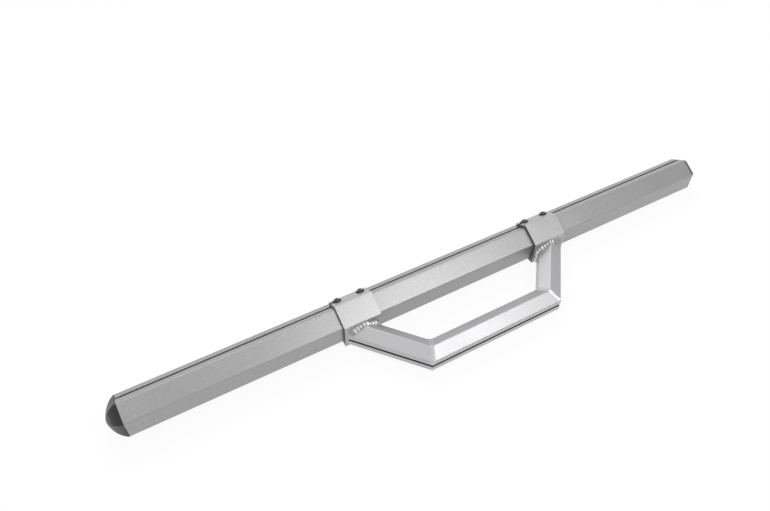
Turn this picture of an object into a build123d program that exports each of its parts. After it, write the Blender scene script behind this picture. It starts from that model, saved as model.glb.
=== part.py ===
from build123d import *
import math
import os

# Side step bar with a drop step: a hexagonal aluminium extrusion lies along X,
# and a welded drop step hangs on it from two clamp brackets that slide in its T-slot.
# The bar lies as it rests on the ground: one corner up, the drop step towards -Y.

# Driving dimensions of the bar, in millimetres
bar_length = 2000.0
bar_flats = 101.6
bar_wall = 3.2
bar_corner = 3.5
hollow_corner = 1.0

# T-slot of the bar: mouth, lips, chamber and the wall of its channel
bar_slot_mouth = 11.0
bar_slot_lip = 4.0
bar_slot_width = 24.0
bar_slot_height = 9.0
bar_slot_wall = 3.0

# Extrusion of the drop step
step_flats = 70.0
step_wall = 3.0
step_corner = 2.5
step_slot_mouth = 8.0
step_slot_lip = 3.0
step_slot_width = 16.0
step_slot_height = 7.0
step_slot_wall = 2.5

# Drop step: place along the bar, reach in front of the bar's axis, tread and bracket spacing,
# and how far outside its bracket's middle each leg ends
step_place = 14.0
step_reach = 222.0
tread_half = 209.0
bracket_half_spacing = 338.0
leg_outset = 5.0

# Clamp brackets
bracket_width = 119.0
bracket_plate = 9.5
bracket_gap = 0.4
bracket_corner = 3.0
pad_past_slot = 10.0
toe_drop = 16.0
toe_length = 24.0
tongue_margin = 3.0
tongue_ground_gap = 0.6

# Bolts, washers and T-nuts
bolt_spacing = 75.0
bolt_size = 10.0
bolt_hole = 11.0
bolt_head = 17.5
bolt_head_top = 12.5
bolt_head_height = 5.5
bolt_head_edge = 1.0
bolt_socket = 6.0
bolt_socket_depth = 3.1
bolt_past_nut = 1.0
thread_gap = 0.05
washer_size = 26.0
washer_thick = 2.0
washer_bore = 10.6
nut_length = 22.0
nut_thick = 6.0
nut_side_gap = 0.6
nut_lip_gap = 0.3
nut_boss_gap = 0.4
nut_boss_short = 1.0
nut_corner = 2.0

# Weld beads
bracket_bead = 10.0
bracket_bead_slope = 44.0
corner_bead_width = 14.0
corner_bead_rise = 0.8
corner_bead_slot_gap = 2.0

# End caps
cap_rise = 38.0
cap_rim = 2.0
cap_bulge = 6.5
cap_tip_flats = 11.0
cap_wall = 3.0
cap_floor = 4.0
cap_spigot = 30.0
cap_spigot_wall = 2.5
cap_clearance = 0.2
cap_tab = 12.0

ROOT3 = math.sqrt(3.0)
bar_side = bar_flats / ROOT3
step_side = step_flats / ROOT3
bar_slot_depth = bar_slot_lip + bar_slot_height
step_slot_depth = step_slot_lip + step_slot_height

# The slotted face of the bar leans back: its outward normal stands 60 degrees above +Y.
slot_lean = 60.0
slot_normal = Vector(0, math.cos(math.radians(slot_lean)), math.sin(math.radians(slot_lean)))
slot_across = Vector(0, slot_normal.Z, -slot_normal.Y)

# The drop step's lowest edge lies level with the bar's lowest corner, so both touch the ground.
ground = -bar_side
step_axis_height = ground + step_side
plate_inner = bar_flats / 2 + bracket_gap
plate_outer = plate_inner + bracket_plate
plate_bottom = -bar_side / 2 - toe_drop
left_bracket = step_place - bracket_half_spacing
right_bracket = step_place + bracket_half_spacing
left_leg_end = left_bracket - leg_outset
right_leg_end = right_bracket + leg_outset
leg_run = step_reach - plate_outer
leg_angle = math.atan2(bracket_half_spacing + leg_outset - tread_half, leg_run)


def hexagon(flats, corner=0.0):
    """A hexagon with one corner up, its corners rounded."""
    outline = RegularPolygon(flats / ROOT3, 6, rotation=30)
    return fillet(outline.vertices(), corner) if corner > 0 else outline


def slot_shape(flats, angle, mouth, lip, width, height, inset=0.0):
    """The open T of a slot in the face that looks towards the given angle."""
    neck = Pos(flats / 2 - lip / 2 - height / 4, 0) * Rectangle(
        lip + height / 2 - 2 * inset, mouth - 2 * inset
    )
    if inset == 0:
        neck += Pos(flats / 2, 0) * Rectangle(lip, mouth)
    chamber = Pos(flats / 2 - lip - height / 2, 0) * Rectangle(
        height - 2 * inset, width - 2 * inset
    )
    return Rot(0, 0, angle) * (neck + chamber)


def slotted_tube(flats, wall, corner, angle, mouth, lip, width, height, channel_wall):
    """Section of a hollow hexagonal extrusion with a T-slot in one face."""
    outer = hexagon(flats, corner)
    hollow = hexagon(flats - 2 * wall, hollow_corner)
    depth = lip + height + channel_wall
    channel = Rot(0, 0, angle) * Pos(flats / 2 - depth / 2, 0) * Rectangle(
        depth, width + 2 * channel_wall
    )
    channel = outer & channel
    return (outer - hollow) + channel - slot_shape(flats, angle, mouth, lip, width, height)


def bar_slot(inset=0.0):
    return slot_shape(
        bar_flats, slot_lean, bar_slot_mouth, bar_slot_lip, bar_slot_width, bar_slot_height, inset
    )


def main_bar():
    section = slotted_tube(
        bar_flats,
        bar_wall,
        bar_corner,
        slot_lean,
        bar_slot_mouth,
        bar_slot_lip,
        bar_slot_width,
        bar_slot_height,
        bar_slot_wall,
    )
    return extrude(Plane.YZ * section, bar_length / 2, both=True)


def six_sided_dome(base, flats, tip_flats, rise):
    """A blunt dome on a hexagon, its six sides bulging: what three barrel-shaped slabs share."""
    fall = (flats - tip_flats) / 2
    chord = math.hypot(rise, fall)
    crown = (
        rise / 2 + cap_bulge * fall / chord,
        (flats + tip_flats) / 4 + cap_bulge * rise / chord,
    )
    side = ThreePointArc((0, flats / 2), crown, (rise, tip_flats / 2))
    tip = Line((rise, tip_flats / 2), (rise, -tip_flats / 2))
    foot = Line((0, -flats / 2), (0, flats / 2))
    profile = make_face([side, tip, mirror(side, about=Plane.XZ), foot])
    slabs = []
    for turn in (0, math.pi / 3, 2 * math.pi / 3):
        across = (0, -math.sin(turn), math.cos(turn))
        plane = Plane(origin=base.origin, x_dir=(1, 0, 0), z_dir=across)
        slabs.append(extrude(plane * profile, flats, both=True))
    return slabs[0] & slabs[1] & slabs[2]


def end_cap():
    """Right-hand end cap: a hollow six-sided dome with a spigot and a tab for the slot."""
    end = bar_length / 2
    base = Plane.YZ.offset(end)
    rim = extrude(base * hexagon(bar_flats, bar_corner), cap_rim)
    foot = base.offset(cap_rim)
    rounded = extrude(foot * hexagon(bar_flats, bar_corner), cap_rise)
    dome = six_sided_dome(foot, bar_flats, cap_tip_flats, cap_rise) & rounded
    inside_flats = bar_flats - 2 * bar_wall - 2 * cap_clearance
    hollow_flats = inside_flats - 2 * cap_spigot_wall
    hollow = extrude(base * hexagon(hollow_flats), cap_rim)
    hollow += six_sided_dome(foot, hollow_flats, cap_tip_flats - cap_wall, cap_rise - cap_floor)
    spigot = base * (hexagon(inside_flats, hollow_corner) - hexagon(hollow_flats))
    channel_depth = bar_slot_depth + bar_slot_wall + cap_clearance
    channel = Rot(0, 0, slot_lean) * Pos(bar_flats / 2 - channel_depth / 2, 0) * Rectangle(
        channel_depth, bar_slot_width + 2 * bar_slot_wall + 2 * cap_clearance
    )
    spigot = extrude(spigot - base * channel, -cap_spigot)
    tab = extrude(base * bar_slot(cap_clearance), -cap_tab)
    return rim + dome - hollow + spigot + tab


def step_section(angle=0.0):
    return slotted_tube(
        step_flats,
        step_wall,
        step_corner,
        angle,
        step_slot_mouth,
        step_slot_lip,
        step_slot_width,
        step_slot_height,
        step_slot_wall,
    )


def corner_point():
    """Where the centre lines of the tread and the left leg meet."""
    return Vector(step_place - tread_half, -step_reach, step_axis_height)


def tread_plane():
    return Plane(origin=corner_point(), x_dir=(0, -1, 0), z_dir=(-1, 0, 0))


def leg_plane():
    outward = (-math.cos(leg_angle), -math.sin(leg_angle), 0)
    along = (-math.sin(leg_angle), math.cos(leg_angle), 0)
    return Plane(origin=corner_point(), x_dir=outward, z_dir=along)


def mitre_plane():
    """Plane of the left mitre, its normal on the leg's side."""
    normal = tread_plane().z_dir + leg_plane().z_dir
    return Plane(origin=corner_point(), x_dir=(0, 0, 1), z_dir=normal)


def other_side(piece):
    """The same piece mirrored to the other end of the drop step."""
    return mirror(piece, about=Plane.YZ.offset(step_place))


def leg(section):
    """A length along the left leg, mitred at the tread and cut at the bracket's plate."""
    length = leg_run / math.cos(leg_angle)
    long = extrude(leg_plane().offset(-step_flats) * section, length + 3 * step_flats)
    long = split(long, bisect_by=mitre_plane(), keep=Keep.TOP)
    face = Plane(origin=(0, -plate_outer, 0), x_dir=(1, 0, 0), z_dir=(0, -1, 0))
    return split(long, bisect_by=face, keep=Keep.TOP)


def tread(section):
    """A length along the tread, mitred at both ends."""
    plane = tread_plane().offset(-2 * tread_half - step_flats)
    long = extrude(plane * section, 2 * tread_half + 2 * step_flats)
    long = split(long, bisect_by=mitre_plane(), keep=Keep.BOTTOM)
    right_mitre = Plane(
        origin=(2 * step_place - corner_point().X, -step_reach, step_axis_height),
        x_dir=(0, 0, 1),
        z_dir=(-mitre_plane().z_dir.X, mitre_plane().z_dir.Y, 0),
    )
    return split(long, bisect_by=right_mitre, keep=Keep.BOTTOM)


def corner_weld():
    """Ground weld seam: a thin band round the left mitre, broken at the slot."""
    swollen = hexagon(step_flats + 2 * corner_bead_rise, step_corner + corner_bead_rise)
    gap_width = step_slot_mouth + 2 * corner_bead_slot_gap
    slot_gap = Pos(step_flats / 2, 0) * Rectangle(2 * step_slot_lip, gap_width)
    band = slab_at_mitre(leg(swollen - slot_gap)) + slab_at_mitre(tread(swollen - slot_gap))
    band -= leg(hexagon(step_flats, step_corner))
    band -= tread(hexagon(step_flats, step_corner))
    floor = Plane(origin=(0, 0, ground))
    return split(band, bisect_by=floor, keep=Keep.TOP)


def slab_at_mitre(piece):
    width = 4 * step_flats
    slab = extrude(mitre_plane() * Rectangle(width, width), corner_bead_width / 2, both=True)
    return piece & slab


def bracket_profile():
    """Section of a clamp bracket: pad, two plates round the bar, and a toe under it."""

    def on_hexagon(apothem, angle):
        radius = 2 * apothem / ROOT3
        return (radius * math.cos(math.radians(angle)), radius * math.sin(math.radians(angle)))

    pad_length = bar_slot_mouth / 2 + pad_past_slot
    pad_end = slot_across * pad_length
    pad_inner = slot_normal * plate_inner + pad_end
    pad_outer = slot_normal * plate_outer + pad_end
    toe_end = -plate_outer + toe_length
    toe_top = -(plate_inner + toe_end / 2) * 2 / ROOT3
    outline = Polygon(
        (pad_inner.Y, pad_inner.Z),
        (pad_outer.Y, pad_outer.Z),
        on_hexagon(plate_outer, 90),
        on_hexagon(plate_outer, 150),
        (-plate_outer, plate_bottom),
        (toe_end, plate_bottom),
        (toe_end, toe_top),
        on_hexagon(plate_inner, 210),
        on_hexagon(plate_inner, 150),
        on_hexagon(plate_inner, 90),
        align=None,
    )
    folds = (on_hexagon(plate_outer, 90), on_hexagon(plate_outer, 150))
    rounded = [
        v for v in outline.vertices() if any(math.dist((v.X, v.Y), f) < 0.01 for f in folds)
    ]
    return fillet(rounded, bracket_corner)


def clamp_bracket(centre, leg_end):
    """A clamp bracket: an open slot and a hole for its bolts, a tongue behind the leg's lower half."""
    middle = Plane.YZ.offset(centre)
    body = extrude(middle * bracket_profile(), bracket_width / 2, both=True)
    leg_half_width = step_flats / 2 / math.cos(leg_angle) + tongue_margin
    tongue_bottom = ground + tongue_ground_gap
    low_corner = step_axis_height - step_side / 2
    slope = (step_side / 2) / leg_half_width
    flat_half = (tongue_bottom - (step_axis_height - step_side - tongue_margin)) / slope
    tongue = Polygon(
        (-leg_half_width, step_axis_height),
        (-leg_half_width, low_corner - tongue_margin),
        (-flat_half, tongue_bottom),
        (flat_half, tongue_bottom),
        (leg_half_width, low_corner - tongue_margin),
        (leg_half_width, step_axis_height),
        align=None,
    )
    face = Plane(origin=(leg_end, -plate_outer, 0), x_dir=(1, 0, 0), z_dir=(0, -1, 0))
    body += extrude(face * tongue, -bracket_plate)
    for side in (-1, 1):
        hole = Cylinder(bolt_hole / 2, 4 * bracket_plate)
        body -= bolt_location(centre, side) * hole
    open_slot = Pos(-bracket_width / 2, 0, 0) * Box(bracket_width, bolt_hole, 4 * bracket_plate)
    return body - bolt_location(centre, -1) * open_slot


def bolt_location(centre, side):
    """On the outer face of a bracket's pad over the slot, with Z along the bolt, head up."""
    seat = slot_normal * plate_outer
    origin = (centre + side * bolt_spacing / 2, seat.Y, seat.Z)
    return Location(Plane(origin=origin, x_dir=(1, 0, 0), z_dir=slot_normal))


def bracket_weld():
    """Fillet weld on the left bracket: over the leg's top and down the leg's inner side."""
    half = step_flats / 2 / math.cos(leg_angle)
    outline = Polygon(
        (half, -step_side),
        (half, step_side / 2),
        (0, step_side),
        (-half, step_side / 2),
        (-half, -step_side),
        align=None,
    )
    face = Plane(
        origin=(left_leg_end, -plate_outer, step_axis_height), x_dir=(1, 0, 0), z_dir=(0, -1, 0)
    )
    spread = offset(outline, bracket_bead, kind=Kind.INTERSECTION)
    bead = extrude(face * spread, bracket_bead, taper=bracket_bead_slope)
    low_corner = Plane(origin=(0, 0, step_axis_height - step_side / 2))
    bead = split(bead, bisect_by=low_corner, keep=Keep.TOP)
    outward = leg_plane().x_dir
    slotted_side = Plane(origin=corner_point() + outward * step_flats / 2, z_dir=outward)
    bead = split(bead, bisect_by=slotted_side, keep=Keep.BOTTOM)
    return bead - leg(hexagon(step_flats, 0))


def bolt(centre, side):
    """Screw with a low round head and a hexagon socket, its head on the washer."""
    nut_bottom = plate_outer - bar_flats / 2 + bar_slot_lip + nut_lip_gap + nut_thick
    length = nut_bottom + bolt_past_nut + washer_thick
    head = Pos(0, 0, bolt_head_height / 2) * Cone(
        bolt_head / 2, bolt_head_top / 2, bolt_head_height
    )
    head = chamfer(head.faces().sort_by(Axis.Z)[-1].edges(), bolt_head_edge)
    shank = Pos(0, 0, -length / 2) * Cylinder(bolt_size / 2, length)
    socket = extrude(RegularPolygon(bolt_socket / ROOT3, 6), bolt_head_height)
    socket = Pos(0, 0, bolt_head_height - bolt_socket_depth) * socket
    return bolt_location(centre, side) * Pos(0, 0, washer_thick) * (head + shank - socket)


def washer(centre, side):
    ring = Cylinder(washer_size / 2, washer_thick) - Cylinder(washer_bore / 2, washer_thick)
    return bolt_location(centre, side) * Pos(0, 0, washer_thick / 2) * ring


def t_nut(centre, side):
    """Nut in the slot's chamber: a block under the lips with a boss up in the mouth."""
    top = -(plate_outer - bar_flats / 2 + bar_slot_lip + nut_lip_gap)
    block = Pos(0, 0, top - nut_thick / 2) * Box(
        nut_length, bar_slot_width - 2 * nut_side_gap, nut_thick
    )
    block = chamfer(block.edges().filter_by(Axis.Z), nut_corner)
    boss_rise = bar_slot_lip + nut_lip_gap - nut_boss_short
    boss = Pos(0, 0, top + boss_rise / 2) * Box(
        nut_length, bar_slot_mouth - 2 * nut_boss_gap, boss_rise
    )
    bore = Cylinder(bolt_size / 2 + thread_gap, 2 * (boss_rise - top + nut_thick))
    return bolt_location(centre, side) * (block + boss - bore)


# Every piece moves together so that the origin lies in the mouth of the slot, half way along.
datum = Pos(0, -slot_normal.Y * bar_flats / 2, -slot_normal.Z * bar_flats / 2)

pieces = {
    "main_bar": main_bar(),
    "end_cap_right": end_cap(),
    "end_cap_left": mirror(end_cap(), about=Plane.YZ),
    "step_leg_left": leg(step_section()),
    "step_leg_right": other_side(leg(step_section())),
    "step_tread": tread(step_section()),
    "clamp_bracket_left": clamp_bracket(left_bracket, left_leg_end),
    "clamp_bracket_right": clamp_bracket(right_bracket, right_leg_end),
    "weld_bracket_left": bracket_weld(),
    "weld_bracket_right": other_side(bracket_weld()),
    "weld_corner_left": corner_weld(),
    "weld_corner_right": other_side(corner_weld()),
}
number = 0
for bracket_centre in (left_bracket, right_bracket):
    for bolt_side in (-1, 1):
        number += 1
        pieces[f"clamp_bolt_{number}"] = bolt(bracket_centre, bolt_side)
        pieces[f"clamp_washer_{number}"] = washer(bracket_centre, bolt_side)
        pieces[f"t_nut_{number}"] = t_nut(bracket_centre, bolt_side)

os.makedirs("parts", exist_ok=True)
for name, piece in pieces.items():
    export_step(datum * piece, f"parts/{name}.step")
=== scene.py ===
import math

import bmesh
import bpy
from mathutils import Matrix, Vector


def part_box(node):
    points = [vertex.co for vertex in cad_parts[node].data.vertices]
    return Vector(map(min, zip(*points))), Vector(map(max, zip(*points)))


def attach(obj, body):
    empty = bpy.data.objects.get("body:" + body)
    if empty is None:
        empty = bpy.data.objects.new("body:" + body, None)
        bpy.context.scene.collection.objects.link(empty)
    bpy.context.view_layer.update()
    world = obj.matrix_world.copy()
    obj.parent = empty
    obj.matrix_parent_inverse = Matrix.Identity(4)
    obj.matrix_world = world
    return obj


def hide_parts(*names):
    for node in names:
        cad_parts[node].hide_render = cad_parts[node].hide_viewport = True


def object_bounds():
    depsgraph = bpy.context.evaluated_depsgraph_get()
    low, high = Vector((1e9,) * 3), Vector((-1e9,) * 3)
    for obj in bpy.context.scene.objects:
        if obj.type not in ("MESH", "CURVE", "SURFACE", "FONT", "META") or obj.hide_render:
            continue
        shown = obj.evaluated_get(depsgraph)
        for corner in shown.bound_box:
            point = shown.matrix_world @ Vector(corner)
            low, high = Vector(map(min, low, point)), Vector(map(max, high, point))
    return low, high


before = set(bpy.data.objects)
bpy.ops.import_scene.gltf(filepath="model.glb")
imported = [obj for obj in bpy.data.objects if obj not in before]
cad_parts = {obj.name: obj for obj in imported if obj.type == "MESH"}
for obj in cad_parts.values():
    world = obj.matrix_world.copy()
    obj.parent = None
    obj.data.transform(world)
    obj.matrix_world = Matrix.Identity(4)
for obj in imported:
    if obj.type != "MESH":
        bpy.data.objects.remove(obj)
cad_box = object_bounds()


# Main bar: a six-sided aluminium extrusion, 2 m long, with a T-slot along its upper back face.
# It is sawn square and powder-coated in silver, which leaves a fine orange-peel skin over faint
# lengthwise lines from the extrusion die. The sawn and slotted edges are slightly broken.

class Value:
    """A socket in a node tree, with arithmetic that adds Math nodes."""

    def __init__(self, recipe, node, socket):
        self.recipe = recipe
        self.node = node
        self.socket = socket

    def of(self, name):
        """Another output of the same node."""
        return Value(self.recipe, self.node, self.recipe.find(self.node.outputs, name))

    def combine(self, operation, left, right):
        return self.recipe.add("ShaderNodeMath", {"operation": operation}, {0: left, 1: right})

    def __add__(self, other):
        return self.combine("ADD", self, other)

    def __radd__(self, other):
        return self.combine("ADD", other, self)

    def __sub__(self, other):
        return self.combine("SUBTRACT", self, other)

    def __rsub__(self, other):
        return self.combine("SUBTRACT", other, self)

    def __mul__(self, other):
        return self.combine("MULTIPLY", self, other)

    def __rmul__(self, other):
        return self.combine("MULTIPLY", other, self)


class Recipe:
    """A node tree, with one way to add a node: its kind, its settings, what its sockets take."""

    def __init__(self, tree):
        self.tree = tree

    def find(self, sockets, key):
        """The socket with that number or name, among those that the node's settings leave on."""
        live = [socket for socket in sockets if socket.enabled]
        if isinstance(key, int):
            return live[key]
        return next(socket for socket in live if socket.name == key)

    def add(self, kind, settings=None, sockets=None, output=0):
        node = self.tree.nodes.new(kind)
        for key, setting in (settings or {}).items():
            setattr(node, key, setting)
        for key, value in (sockets or {}).items():
            socket = self.find(node.inputs, key)
            if isinstance(value, Value):
                self.tree.links.new(value.socket, socket)
            else:
                socket.default_value = value
        if len(node.outputs) == 0:
            return None
        return Value(self, node, self.find(node.outputs, output))

    def place(self, turn=0.0, stretch=(1, 1, 1)):
        """Object coordinates, turned in plan so that X runs along the piece, and stretched."""
        coordinates = self.add("ShaderNodeTexCoord").of("Object")
        return self.add(
            "ShaderNodeMapping",
            None,
            {"Vector": coordinates, "Rotation": (0, 0, -turn), "Scale": stretch},
        )

    def noise(self, place, cells_per_metre, detail=2.0, roughness=0.5):
        """Noise from 0 to 1, with that many cells in a metre."""
        return self.add(
            "ShaderNodeTexNoise",
            None,
            {"Vector": place, "Scale": cells_per_metre, "Detail": detail, "Roughness": roughness},
        )

    def speckle(self, place, cells_per_metre):
        """Noise with its middle spread out, so that it falls into dark and light specks."""
        return self.add(
            "ShaderNodeMapRange",
            None,
            {"Value": self.noise(place, cells_per_metre), "From Min": 0.35, "From Max": 0.65},
        )

    def shades(self, amount, dark, light):
        """A colour between two, by an amount from 0 to 1."""
        return self.add(
            "ShaderNodeMix",
            {"data_type": "RGBA"},
            {"Factor": amount, "A": (*dark, 1), "B": (*light, 1)},
            "Result",
        )

    def bump(self, height, depth, strength):
        return self.add(
            "ShaderNodeBump", None, {"Height": height, "Distance": depth, "Strength": strength}
        )

    def shader(self, sockets):
        surface = self.add("ShaderNodeBsdfPrincipled", None, sockets)
        self.add("ShaderNodeOutputMaterial", None, {"Surface": surface})


def new_material(name):
    material = bpy.data.materials.new(name)
    material.use_nodes = True
    material.node_tree.nodes.clear()
    return material, Recipe(material.node_tree)


flakes_per_metre = 4200
specks_per_metre = 270
coat_relief = 0.00003


def silver_coat(name, dark_silver, light_silver, metal_share, turn=0.0):
    """Silver powder coat on an extrusion that lies at that angle from the bar, in plan."""
    material, recipe = new_material(name)
    place = recipe.place()
    along = recipe.place(turn, stretch=(0.02, 1, 1))
    peel = recipe.noise(place, cells_per_metre=950)
    flake = recipe.noise(place, flakes_per_metre, detail=1.0)
    speck = recipe.speckle(place, specks_per_metre)
    cloud = recipe.noise(place, cells_per_metre=9, detail=3.0)
    die_lines = recipe.noise(along, cells_per_metre=420, detail=3.0, roughness=0.6)
    shading = 0.28 * flake + 0.32 * speck + 0.25 * cloud + 0.15 * die_lines
    height = 0.7 * peel + 0.2 * flake + 0.35 * die_lines
    recipe.shader(
        {
            "Base Color": recipe.shades(shading, dark_silver, light_silver),
            "Metallic": metal_share,
            "Roughness": 0.3 + 0.07 * cloud + 0.05 * flake + 0.04 * die_lines,
            "Normal": recipe.bump(height, depth=coat_relief, strength=0.5),
        }
    )
    return material


def in_scene(name, data):
    """A new object of that mesh, lamp or camera data, in the scene."""
    thing = bpy.data.objects.new(name, data)
    bpy.context.scene.collection.objects.link(thing)
    return thing


merge_gap = 1e-6
flat_within = math.radians(0.5)
smooth_within = math.radians(32)
break_above = math.radians(35)


def broken_edges(name, node, width, material, body):
    """A CAD node's own shape with its sharp edges slightly broken, riding on its body."""
    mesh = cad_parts[node].data.copy()
    work = bmesh.new()
    work.from_mesh(mesh)
    bmesh.ops.remove_doubles(work, verts=work.verts, dist=merge_gap)
    bmesh.ops.dissolve_limit(work, angle_limit=flat_within, verts=work.verts, edges=work.edges)
    work.to_mesh(mesh)
    work.free()
    mesh.materials.clear()
    mesh.materials.append(material)
    mesh.shade_smooth()
    mesh.set_sharp_from_angle(angle=smooth_within)
    piece = in_scene(name, mesh)
    bevel = piece.modifiers.new("broken_edges", "BEVEL")
    bevel.width = width
    bevel.segments = 2
    bevel.limit_method = "ANGLE"
    bevel.angle_limit = break_above
    bevel.harden_normals = True
    flats = piece.modifiers.new("true_flats", "WEIGHTED_NORMAL")
    flats.mode = "FACE_AREA"
    flats.weight = 100
    flats.keep_sharp = True
    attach(piece, body)
    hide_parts(node)
    return piece


bar_edge_width = 0.0004
bar_dark_silver = (0.287, 0.286, 0.286)
bar_light_silver = (0.430, 0.428, 0.427)
bar_metal_share = 0.76

bar_coat = silver_coat("bar_coat", bar_dark_silver, bar_light_silver, bar_metal_share)
broken_edges("coated_bar", "main_bar", bar_edge_width, bar_coat, "bar")


# End caps: hollow six-sided domes moulded in black plastic, pressed into the bar's open ends.
# The mould is spark-eroded, so the faces have a fine even grain and a soft gloss.

cap_edge_width = 0.0005
cap_black = (0.006, 0.006, 0.0065)
cap_grey = (0.018, 0.018, 0.0185)


def black_plastic():
    material, recipe = new_material("black_plastic")
    place = recipe.place()
    grain = recipe.noise(place, cells_per_metre=1600, detail=3.0, roughness=0.6)
    scuff = recipe.noise(place, cells_per_metre=60, detail=4.0, roughness=0.6)
    recipe.shader(
        {
            "Base Color": recipe.shades(0.5 * grain + 0.5 * scuff, cap_black, cap_grey),
            "Roughness": 0.28 + 0.1 * scuff + 0.08 * grain,
            "Normal": recipe.bump(grain, depth=0.00005, strength=0.5),
        }
    )
    return material


cap_plastic = black_plastic()
for side in ("left", "right"):
    broken_edges(
        f"cap_{side}", f"end_cap_{side}", cap_edge_width, cap_plastic, "bar"
    )


# Drop step: a tread and two splayed legs, mitred and welded from one smaller slotted extrusion
# and coated with the bar's silver powder. The faces inside the slot are painted dark as painted
# shade.

leg_flats = 0.070
leg_side = leg_flats / math.sqrt(3)
leg_angle = math.radians(39.7)
leg_turns = {"left": math.pi / 2 + leg_angle, "right": math.pi / 2 - leg_angle}
mitre_angle = (math.pi / 2 - leg_angle) / 2
shade_inset = 0.001
step_edge_width = 0.0003
# The step's silver is painted lighter than the bar's, though it is the same coat: painted light on
# the tread and legs.
step_lit_dark_silver = (0.39, 0.39, 0.40)
step_lit_light_silver = (0.545, 0.545, 0.555)
step_metal_share = 0.6
# Dark silver painted inside the slots, as painted shade.
slot_shade_dark = (0.12, 0.12, 0.12)
slot_shade_light = (0.18, 0.18, 0.18)
end_facing = 0.5

tread_low, tread_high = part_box("step_tread")
tread_centre = (tread_low + tread_high) / 2
corners = {}
for side, out, tread_end in (("left", -1, tread_low.x), ("right", 1, tread_high.x)):
    corner_x = tread_end - out * leg_flats / 2 * math.tan(mitre_angle)
    corners[side] = Vector((corner_x, tread_centre.y, tread_centre.z))


def painted_slot_shade(piece, on_axis, turn, slot_shade_coat):
    """Painted shade on the faces inside an extrusion's slot, whose axis passes a point at that
    angle from the bar.
    """
    along = Vector((math.cos(turn), math.sin(turn), 0))
    piece.data.materials.append(slot_shade_coat)
    for face in piece.data.polygons:
        reach = (face.center - on_axis).cross(along).length
        if reach < leg_flats / 2 - shade_inset and abs(face.normal.dot(along)) < end_facing:
            face.material_index = 1


# The slots' painted shade: a darker copy of the step's coat on the faces inside them.
slot_shade_coat = silver_coat("painted_slot_shade", slot_shade_dark, slot_shade_light, step_metal_share)
tread_coat = silver_coat("tread_coat", step_lit_dark_silver, step_lit_light_silver, step_metal_share)
tread = broken_edges(
    "coated_tread", "step_tread", step_edge_width, tread_coat, "drop_step"
)
painted_slot_shade(tread, tread_centre, 0.0, slot_shade_coat)
for side, turn in leg_turns.items():
    leg_coat = silver_coat(
        f"leg_coat_{side}", step_lit_dark_silver, step_lit_light_silver, step_metal_share, turn
    )
    leg = broken_edges(
        f"coated_leg_{side}",
        f"step_leg_{side}",
        step_edge_width,
        leg_coat,
        "drop_step",
    )
    painted_slot_shade(leg, corners[side], turn, slot_shade_coat)


# Clamp brackets: thick aluminium sections that wrap the bar's front half, sawn to length and
# coated. Their pads carry the screws. The sawn end faces are painted darker as painted shade,
# and their coat is duller.

bracket_edge_width = 0.0008
bracket_dark_silver = (0.351, 0.350, 0.350)
bracket_light_silver = (0.501, 0.500, 0.499)
# Darker silver for the sawn end faces, as painted shade.
sawn_shade_dark_silver = (0.12, 0.12, 0.125)
sawn_shade_light_silver = (0.18, 0.18, 0.185)
sawn_facing = 0.99


def bracket_coat(name, dark_silver, light_silver, dull):
    material, recipe = new_material(name)
    place = recipe.place()
    peel = recipe.noise(place, cells_per_metre=800)
    flake = recipe.noise(place, flakes_per_metre, detail=1.0)
    speck = recipe.speckle(place, specks_per_metre)
    cloud = recipe.noise(place, cells_per_metre=14, detail=3.0)
    shading = 0.33 * flake + 0.32 * speck + 0.35 * cloud
    recipe.shader(
        {
            "Base Color": recipe.shades(shading, dark_silver, light_silver),
            "Metallic": 0.68,
            "Roughness": dull + 0.07 * cloud + 0.05 * flake,
            "Normal": recipe.bump(0.8 * peel + 0.2 * flake, depth=coat_relief, strength=0.5),
        }
    )
    return material


clamp_coat = bracket_coat("bracket_coat", bracket_dark_silver, bracket_light_silver, dull=0.32)
# The sawn end faces get a darker copy of the coat, as painted shade.
sawn_end_shade_coat = bracket_coat("sawn_end_shade_coat", sawn_shade_dark_silver, sawn_shade_light_silver, dull=0.5)
for side in ("left", "right"):
    bracket = broken_edges(
        f"coated_bracket_{side}",
        f"clamp_bracket_{side}",
        bracket_edge_width,
        clamp_coat,
        "drop_step",
    )
    bracket.data.materials.append(sawn_end_shade_coat)
    for face in bracket.data.polygons:
        if abs(face.normal.x) > sawn_facing:
            face.material_index = 1


# Screws and washers: four M10 button-head screws with hexagon sockets, black zinc-plated,
# each on a flat washer on the bracket's pad. One turned shape of each is set at all four places.

slot_lean = math.radians(30)
slot_normal = Vector((0, math.sin(slot_lean), math.cos(slot_lean)))
slot_tilt = Vector((-slot_lean, 0, 0))
round_within = math.radians(28)
ring_points = 48
screw_names = [str(number) for number in range(1, 5)]
washer_centres = [sum(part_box(f"clamp_washer_{number}"), Vector()) / 2 for number in screw_names]


def turned(name, rings, closed):
    """A turned shape from rings of (radius, height, whether six-sided), in millimetres."""
    work = bmesh.new()
    rows = []
    for radius, height, six_sided in rings:
        row = []
        for step in range(ring_points):
            angle = 2 * math.pi * step / ring_points
            reach = radius
            if six_sided:
                reach *= math.cos(math.pi / 6) / math.cos(angle % (math.pi / 3) - math.pi / 6)
            place = Vector((reach * math.cos(angle), reach * math.sin(angle), height))
            row.append(work.verts.new(place / 1000))
        rows.append(row)
    next_rows = rows[1:] + rows[:1] if closed else rows[1:]
    for low, high in zip(rows, next_rows):
        for step in range(ring_points):
            after = (step + 1) % ring_points
            work.faces.new((low[step], low[after], high[after], high[step]))
    if not closed:
        work.faces.new(rows[0][::-1])
        work.faces.new(rows[-1])
    bmesh.ops.recalc_face_normals(work, faces=work.faces)
    mesh = bpy.data.meshes.new(name)
    work.to_mesh(mesh)
    work.free()
    mesh.shade_smooth()
    mesh.set_sharp_from_angle(angle=round_within)
    return in_scene(name, mesh)


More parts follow.
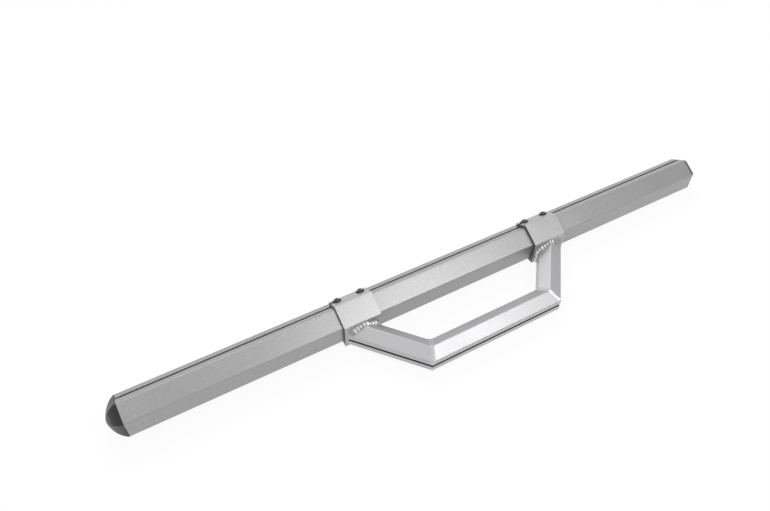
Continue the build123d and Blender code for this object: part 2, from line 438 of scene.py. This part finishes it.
def geometry_tree(name, inputs):
    """A Geometry Nodes tree with a geometry input and output and the named inputs given."""
    tree = bpy.data.node_groups.new(name, "GeometryNodeTree")
    tree.interface.new_socket("Geometry", in_out="INPUT", socket_type="NodeSocketGeometry")
    for label, kind in inputs.items():
        tree.interface.new_socket(label, in_out="INPUT", socket_type=kind)
    tree.interface.new_socket("Geometry", in_out="OUTPUT", socket_type="NodeSocketGeometry")
    recipe = Recipe(tree)
    return tree, recipe, recipe.add("NodeGroupInput")


def made_plain(name, mesh, tree, values):
    """What the tree makes of a mesh with these input values, as a plain object."""
    piece = in_scene(name, mesh)
    modifier = piece.modifiers.new(name, "NODES")
    modifier.node_group = tree
    for item in tree.interface.items_tree:
        if item.item_type == "SOCKET" and item.in_out == "INPUT" and item.name in values:
            modifier[item.identifier] = values[item.name]
    bpy.context.view_layer.update()
    evaluated = piece.evaluated_get(bpy.context.evaluated_depsgraph_get())
    plain = bpy.data.meshes.new_from_object(evaluated)
    piece.modifiers.clear()
    piece.data = plain
    return piece


def points_mesh(name, places, edges=()):
    mesh = bpy.data.meshes.new(name)
    mesh.from_pydata([tuple(place) for place in places], list(edges), [])
    return mesh


def set_out_tree():
    """Sets one pattern at each point, tilted alike and turned at random about its own axis."""
    tree, recipe, given = geometry_tree(
        "set_out",
        {
            "Pattern": "NodeSocketObject",
            "Tilt": "NodeSocketVector",
            "Seed": "NodeSocketInt",
            "Finish": "NodeSocketMaterial",
        },
    )
    pattern = recipe.add(
        "GeometryNodeObjectInfo", None, {"Object": given.of("Pattern")}, "Geometry"
    )
    spin = recipe.add(
        "FunctionNodeRandomValue",
        {"data_type": "FLOAT"},
        {"Min": 0.0, "Max": math.pi / 3, "Seed": given.of("Seed")},
    )
    tilt = recipe.add("FunctionNodeEulerToRotation", None, {0: given.of("Tilt")})
    turn = recipe.add("FunctionNodeAxisAngleToRotation", None, {"Axis": (0, 0, 1), "Angle": spin})
    whole = recipe.add(
        "FunctionNodeRotateRotation", {"rotation_space": "LOCAL"}, {0: tilt, 1: turn}
    )
    placed = recipe.add(
        "GeometryNodeInstanceOnPoints",
        None,
        {"Points": given.of("Geometry"), "Instance": pattern, "Rotation": whole},
    )
    real = recipe.add("GeometryNodeRealizeInstances", None, {"Geometry": placed})
    finished = recipe.add(
        "GeometryNodeSetMaterial", None, {"Geometry": real, "Material": given.of("Finish")}
    )
    recipe.add("NodeGroupOutput", None, {"Geometry": finished})
    return tree


def black_steel(name, dark, light):
    material, recipe = new_material(name)
    place = recipe.place()
    fine = recipe.noise(place, cells_per_metre=1500, detail=3.0)
    blotch = recipe.noise(place, cells_per_metre=180, detail=3.0)
    recipe.shader(
        {
            "Base Color": recipe.shades(blotch, dark, light),
            "Metallic": 0.7,
            "Roughness": 0.24 + 0.2 * blotch,
            "Normal": recipe.bump(fine, depth=0.00002, strength=0.5),
        }
    )
    return material


# The screw's and the washer's own sizes are in millimetres, up from where the head seats.
shank_radius = 5.0
shank_length = 21.1
tip_chamfer = 0.9
neck_flare = 0.4
head_radius = 8.75
head_height = 5.5
head_seat_radius = 8.3
head_flat = 0.6
socket_mouth_radius = 4.1
socket_flats = 6.0
socket_depth = 3.1
socket_corner = socket_flats / math.sqrt(3)
drill_radius = 2.4
drill_tip_radius = 0.2
drill_tip_depth = 1.3
dome_steps = 7
dome_drop = 1.75
dome_radius = math.hypot(head_radius, dome_drop)
dome_start = math.asin(dome_drop / dome_radius)
dome_end = math.radians(53)
dome_angles = [
    dome_start + (dome_end - dome_start) * step / dome_steps for step in range(dome_steps + 1)
]
dome = [
    (dome_radius * math.cos(angle), dome_radius * math.sin(angle) - dome_drop, False)
    for angle in dome_angles
]
screw_rings = [
    (shank_radius - tip_chamfer, -shank_length, False),
    (shank_radius, -shank_length + tip_chamfer, False),
    (shank_radius, -neck_flare, False),
    (shank_radius + neck_flare, 0.0, False),
    (head_seat_radius, 0.0, False),
    *dome,
    (socket_mouth_radius + head_flat, head_height, False),
    (socket_mouth_radius, head_height, False),
    (socket_corner + 0.15, head_height - 0.35, True),
    (socket_corner, head_height - 0.6, True),
    (socket_corner, head_height - socket_depth, True),
    (drill_radius, head_height - socket_depth - 0.3, False),
    (drill_tip_radius, head_height - socket_depth - drill_tip_depth, False),
]

washer_radius = 13.0
washer_hole_radius = 5.3
washer_thick = 2.0
washer_rim = 0.3
washer_edge = 0.2
washer_rings = [
    (washer_hole_radius, washer_rim, False),
    (washer_hole_radius + washer_rim, 0.0, False),
    (washer_radius - washer_edge, 0.0, False),
    (washer_radius, washer_rim, False),
    (washer_radius, washer_thick - 0.6, False),
    (washer_radius - washer_edge, washer_thick - washer_edge, False),
    (washer_radius - 0.7, washer_thick, False),
    (washer_hole_radius + washer_rim, washer_thick, False),
    (washer_hole_radius, washer_thick - washer_rim, False),
]

screw_black = (0.05, 0.05, 0.052)
screw_grey = (0.13, 0.13, 0.135)
washer_black = (0.008, 0.008, 0.008)
washer_grey = (0.02, 0.02, 0.021)
spin_seed = 4

screw_steel = black_steel("screw_steel", screw_black, screw_grey)
washer_steel = black_steel("washer_steel", washer_black, washer_grey)
set_out = set_out_tree()
half_washer = washer_thick / 2 / 1000
fasteners = (
    ("screws", screw_rings, False, half_washer, "clamp_bolt", screw_steel),
    ("washers", washer_rings, True, -half_washer, "clamp_washer", washer_steel),
)
for fastener, rings, closed, rise, node, steel in fasteners:
    pattern = turned(f"{fastener}_pattern", rings, closed)
    places = [centre + slot_normal * rise for centre in washer_centres]
    piece = made_plain(
        fastener,
        points_mesh(f"{fastener}_places", places),
        set_out,
        {"Pattern": pattern, "Tilt": slot_tilt, "Seed": spin_seed, "Finish": steel},
    )
    bpy.data.objects.remove(pattern)
    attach(piece, "drop_step")
    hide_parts(*[f"{node}_{number}" for number in screw_names])


# T-nuts: zinc-plated steel blocks in the bar's slot, under its lips, one for each screw.
# They keep the solids' own shape and only get their finish here.

zinc_dark = (0.42, 0.41, 0.38)
zinc_light = (0.58, 0.57, 0.53)


def zinc_plate():
    material, recipe = new_material("zinc_plate")
    place = recipe.place()
    along = recipe.place(stretch=(0.05, 1, 1))
    brush = recipe.noise(along, cells_per_metre=1200)
    blotch = recipe.noise(place, cells_per_metre=220, detail=3.0)
    recipe.shader(
        {
            "Base Color": recipe.shades(blotch, zinc_dark, zinc_light),
            "Metallic": 1.0,
            "Roughness": 0.3 + 0.2 * blotch,
            "Normal": recipe.bump(brush, depth=0.00002, strength=0.5),
        }
    )
    return material


def finish_solid(node, material):
    """Gives a CAD node that is shown as it is its material."""
    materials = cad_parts[node].data.materials
    materials.clear()
    materials.append(material)


zinc = zinc_plate()
for number in screw_names:
    finish_solid(f"t_nut_{number}", zinc)


# Bracket welds: a coarse hand-laid bead at the bracket's plate, over the leg's top and down its
# inner side, coated over. Each puddle froze as a leaning disc on the one before.

leg_outset = 0.005
puddle_pitch = 0.0095
puddle_size = Vector((0.0118, 0.0110, 0.0050))
puddle_lean = math.radians(42)
smallest_puddle = 0.76
largest_puddle = 1.10
puddle_seed = 7
# Light silver on the puddles is painted highlight; darker silver on the fillet under and between
# them is painted shade.
bead_highlight_dark = (0.58, 0.58, 0.58)
bead_highlight_light = (0.78, 0.78, 0.78)
root_shade_dark = (0.32, 0.32, 0.315)
root_shade_light = (0.47, 0.47, 0.46)


def bead_tree():
    """Sets a puddle every pitch along a path, facing out from a centre and away from the bar."""
    tree, recipe, given = geometry_tree(
        "weld_bead",
        {
            "Puddle": "NodeSocketObject",
            "Pitch": "NodeSocketFloat",
            "Centre": "NodeSocketVector",
            "Seed": "NodeSocketInt",
            "Finish": "NodeSocketMaterial",
        },
    )
    path = recipe.add("GeometryNodeMeshToCurve", None, {"Mesh": given.of("Geometry")})
    steps = recipe.add(
        "GeometryNodeResampleCurve",
        {"mode": "LENGTH"},
        {"Curve": path, "Length": given.of("Pitch")},
    )
    tangent = recipe.add("GeometryNodeInputTangent")
    position = recipe.add("GeometryNodeInputPosition")
    away = recipe.add(
        "ShaderNodeVectorMath", {"operation": "SUBTRACT"}, {0: position, 1: given.of("Centre")}
    )
    outward = recipe.add("ShaderNodeVectorMath", {"operation": "NORMALIZE"}, {0: away})
    facing = recipe.add("ShaderNodeVectorMath", {"operation": "ADD"}, {0: outward, 1: (0, -1, 0)})
    lying = recipe.add("FunctionNodeAlignRotationToVector", {"axis": "Z"}, {"Vector": tangent})
    turned_out = recipe.add(
        "FunctionNodeAlignRotationToVector",
        {"axis": "Y", "pivot_axis": "Z"},
        {"Rotation": lying, "Vector": facing},
    )
    size = recipe.add(
        "FunctionNodeRandomValue",
        {"data_type": "FLOAT"},
        {"Min": smallest_puddle, "Max": largest_puddle, "Seed": given.of("Seed")},
    )
    puddle = recipe.add("GeometryNodeObjectInfo", None, {"Object": given.of("Puddle")}, "Geometry")
    placed = recipe.add(
        "GeometryNodeInstanceOnPoints",
        None,
        {"Points": steps, "Instance": puddle, "Rotation": turned_out, "Scale": size},
    )
    real = recipe.add("GeometryNodeRealizeInstances", None, {"Geometry": placed})
    finished = recipe.add(
        "GeometryNodeSetMaterial", None, {"Geometry": real, "Material": given.of("Finish")}
    )
    recipe.add("NodeGroupOutput", None, {"Geometry": finished})
    return tree


def painted_light_weld_coat(name, dark, light, dull):
    material, recipe = new_material(name)
    place = recipe.place()
    flake = recipe.noise(place, flakes_per_metre, detail=1.0)
    blotch = recipe.noise(place, cells_per_metre=160, detail=3.0)
    recipe.shader(
        {
            "Base Color": recipe.shades(0.4 * flake + 0.6 * blotch, dark, light),
            "Metallic": 0.8,
            "Roughness": dull + 0.12 * blotch,
            "Normal": recipe.bump(blotch, depth=0.00006, strength=0.5),
        }
    )
    return material


def puddle_pattern():
    work = bmesh.new()
    bmesh.ops.create_uvsphere(work, u_segments=28, v_segments=14, radius=1)
    shape = Matrix.Rotation(puddle_lean, 4, "X") @ Matrix.Diagonal((*puddle_size, 1))
    bmesh.ops.transform(work, matrix=shape, verts=work.verts)
    mesh = bpy.data.meshes.new("puddle")
    work.to_mesh(mesh)
    work.free()
    mesh.shade_smooth()
    return in_scene("puddle", mesh)


# Lit and shaded copies of one coat: painted highlight on the bead, painted shade on its root.
bead_painted_highlight = painted_light_weld_coat("painted_light_weld_coat", bead_highlight_dark, bead_highlight_light, dull=0.2)
root_painted_shade = painted_light_weld_coat("weld_root_painted_shade", root_shade_dark, root_shade_light, dull=0.32)
bead = bead_tree()
puddle = puddle_pattern()
leg_half_width = leg_flats / 2 / math.cos(leg_angle)
bead_forward = 0.0020
bead_outward = 0.0016
# Share of the way from the leg's outer corner up to its top at which the bead starts.
bead_starts = {"left": 0.45, "right": 0.9}
for side, out in (("left", -1), ("right", 1)):
    low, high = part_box(f"clamp_bracket_{side}")
    centre = Vector(((low.x + high.x) / 2 + out * leg_outset, low.y, tread_centre.z))
    wide = leg_half_width + bead_outward
    tall = leg_side + bead_outward
    start = bead_starts[side]
    outline = [
        (out * leg_half_width * (1 - start), leg_side * (1 + start) / 2),
        (0, tall),
        (-out * wide, leg_side / 2),
        (-out * wide, -leg_side / 2),
    ]
    path = [centre + Vector((x, -bead_forward, z)) for x, z in outline]
    edges = [(step, step + 1) for step in range(len(path) - 1)]
    piece = made_plain(
        f"bracket_bead_{side}",
        points_mesh(f"bracket_bead_path_{side}", path, edges),
        bead,
        {
            "Puddle": puddle,
            "Pitch": puddle_pitch,
            "Centre": centre,
            "Seed": puddle_seed,
            "Finish": bead_painted_highlight,
        },
    )
    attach(piece, "drop_step")
    finish_solid(f"weld_bracket_{side}", root_painted_shade)
bpy.data.objects.remove(puddle)


# Corner welds: the seams round both mitres, ground to a low crown and then coated.
# The grinding wheel left fine scratches from front to back, and the coat there is painted lighter
# as a painted sheen.

crown = 0.0018
on_mitre_plane = 0.00002
seam_edge_width = 0.0003
# Lighter silver on the seams, as painted sheen.
seam_sheen_dark = (0.48, 0.48, 0.49)
seam_sheen_light = (0.60, 0.60, 0.61)


def ground_seam():
    material, recipe = new_material("ground_seam")
    place = recipe.place()
    front_to_back = recipe.place(stretch=(1, 0.04, 0.04))
    scratches = recipe.noise(front_to_back, cells_per_metre=1500, detail=3.0, roughness=0.7)
    blotch = recipe.noise(place, cells_per_metre=120, detail=3.0)
    shading = 0.5 * scratches + 0.5 * blotch
    recipe.shader(
        {
            "Base Color": recipe.shades(shading, seam_sheen_dark, seam_sheen_light),
            "Metallic": 0.6,
            "Roughness": 0.26 + 0.14 * blotch,
            "Normal": recipe.bump(scratches, depth=0.00004, strength=0.6),
        }
    )
    return material


def raise_crown(mesh, corner, across):
    """Lifts the edges in the mitre plane, on the seam's upper half."""
    crease = set()
    for face in mesh.polygons:
        if face.normal.dot(face.center - corner) > 0:
            crease.update(face.vertices)
    for index in crease:
        vertex = mesh.vertices[index]
        from_plane = abs((vertex.co - corner).dot(across))
        if from_plane < on_mitre_plane and vertex.co.z > corner.z:
            vertex.co.z += crown


seam = ground_seam()
for side, out in (("left", -1), ("right", 1)):
    piece = broken_edges(
        f"corner_seam_{side}",
        f"weld_corner_{side}",
        seam_edge_width,
        seam,
        "drop_step",
    )
    across = Vector((out * math.cos(mitre_angle), math.sin(mitre_angle), 0))
    raise_crown(piece.data, corners[side], across)


# Floor: plain white paper under the bar. It shows as plain white to the camera for the most
# part, and takes light for the rest, which keeps a soft shadow under the bar.

floor_half = 200.0
floor_gap = 0.0002
floor_height = cad_box[0].z - floor_gap
floor_corners = ((-1, -1), (1, -1), (1, 1), (-1, 1))
paper_white = (0.9, 0.9, 0.9, 1)
plain_white = (1, 1, 1, 1)
plain_white_share = 0.92


def white_for_camera(recipe, share):
    """The share of plain white that a ray sees: none for rays that only carry light."""
    rays = recipe.add("ShaderNodeLightPath")
    seen = rays.of("Is Camera Ray") + rays.of("Is Glossy Ray") + rays.of("Is Transmission Ray")
    return share * recipe.add("ShaderNodeClamp", None, {"Value": seen})


floor_mesh = bpy.data.meshes.new("floor")
floor_mesh.from_pydata(
    [(x * floor_half, y * floor_half, floor_height) for x, y in floor_corners],
    [],
    [(0, 1, 2, 3)],
)
floor = in_scene("floor", floor_mesh)
paper, recipe = new_material("white_paper")
lit = recipe.add("ShaderNodeBsdfDiffuse", None, {"Color": paper_white})
white = recipe.add("ShaderNodeEmission", None, {"Color": plain_white, "Strength": 1.0})
white_share = white_for_camera(recipe, plain_white_share)
both = recipe.add("ShaderNodeMixShader", None, {0: white_share, 1: lit, 2: white})
recipe.add("ShaderNodeOutputMaterial", None, {"Surface": both})
floor_mesh.materials.append(paper)


# Studio light: a white room, dim behind the camera and on the right, a softbox to the front
# right whose reflection runs over the bar and the tread, a wide soft panel behind and a
# smaller one on the left.

white_strength = 0.83
dim_strength = 0.58
dim_below = -0.3
white_above = 0.6
dimmer_in_front = 0.6
dimmer_on_right = 0.4
world = bpy.data.worlds.new("studio")
bpy.context.scene.world = world
world.use_nodes = True
world.node_tree.nodes.clear()
recipe = Recipe(world.node_tree)
direction = recipe.add("ShaderNodeTexCoord")
up = recipe.add("ShaderNodeSeparateXYZ", None, {"Vector": direction}, "Z")
towards_white = up + dimmer_in_front * up.of("Y") - dimmer_on_right * up.of("X")
strength = recipe.add(
    "ShaderNodeMapRange",
    {"interpolation_type": "SMOOTHSTEP"},
    {
        "Value": towards_white,
        "From Min": dim_below,
        "From Max": white_above,
        "To Min": dim_strength,
        "To Max": white_strength,
    },
)
room = recipe.add("ShaderNodeBackground", None, {"Color": plain_white, "Strength": strength})
recipe.add("ShaderNodeOutputWorld", None, {"Surface": room})


def softbox(name, target, direction, distance, width, height, brightness):
    """A rectangular panel that faces the target; its power follows from how bright it looks."""
    panel = bpy.data.lights.new(name, "AREA")
    panel.shape = "RECTANGLE"
    panel.size = width
    panel.size_y = height
    panel.energy = brightness * math.pi * width * height
    lamp = in_scene(name, panel)
    towards = Vector(direction).normalized()
    lamp.location = Vector(target) + towards * distance
    lamp.rotation_euler = towards.to_track_quat("Z", "Y").to_euler()


softbox(
    "front_panel",
    target=(-0.15, -0.1, 0.0),
    direction=(0.35, -0.5, 0.79),
    distance=4.0,
    width=1.4,
    height=1.4,
    brightness=5.3,
)
softbox(
    "back_panel",
    target=(0.1, -0.1, 0.0),
    direction=(0.1, 0.66, 0.74),
    distance=3.2,
    width=3.6,
    height=1.6,
    brightness=2.4,
)
softbox(
    "left_panel",
    target=(0.0, -0.2, 0.0),
    direction=(-0.5, -0.1, 0.86),
    distance=3.2,
    width=1.6,
    height=1.6,
    brightness=0.5,
)


# Camera: above and to the left of the bar, looking down along it, with the drop step towards
# it. Its place, its directions and its lens are those that fit the bar's outlines best.

camera_place = Vector((-0.8267, -1.1075, 1.4660))
camera_forward = Vector((0.33630, 0.59929, -0.72647))
camera_right = Vector((0.87207, -0.48938, 0.0))
camera_data = bpy.data.cameras.new("camera")
camera_data.lens = 30.47
camera_data.sensor_width = 36
camera = in_scene("camera", camera_data)
camera_up = camera_right.cross(camera_forward)
turn = Matrix((camera_right, camera_up, -camera_forward)).transposed()
camera.matrix_world = Matrix.Translation(camera_place) @ turn.to_4x4()
bpy.context.scene.camera = camera
bpy.context.scene.view_settings.view_transform = "Standard"
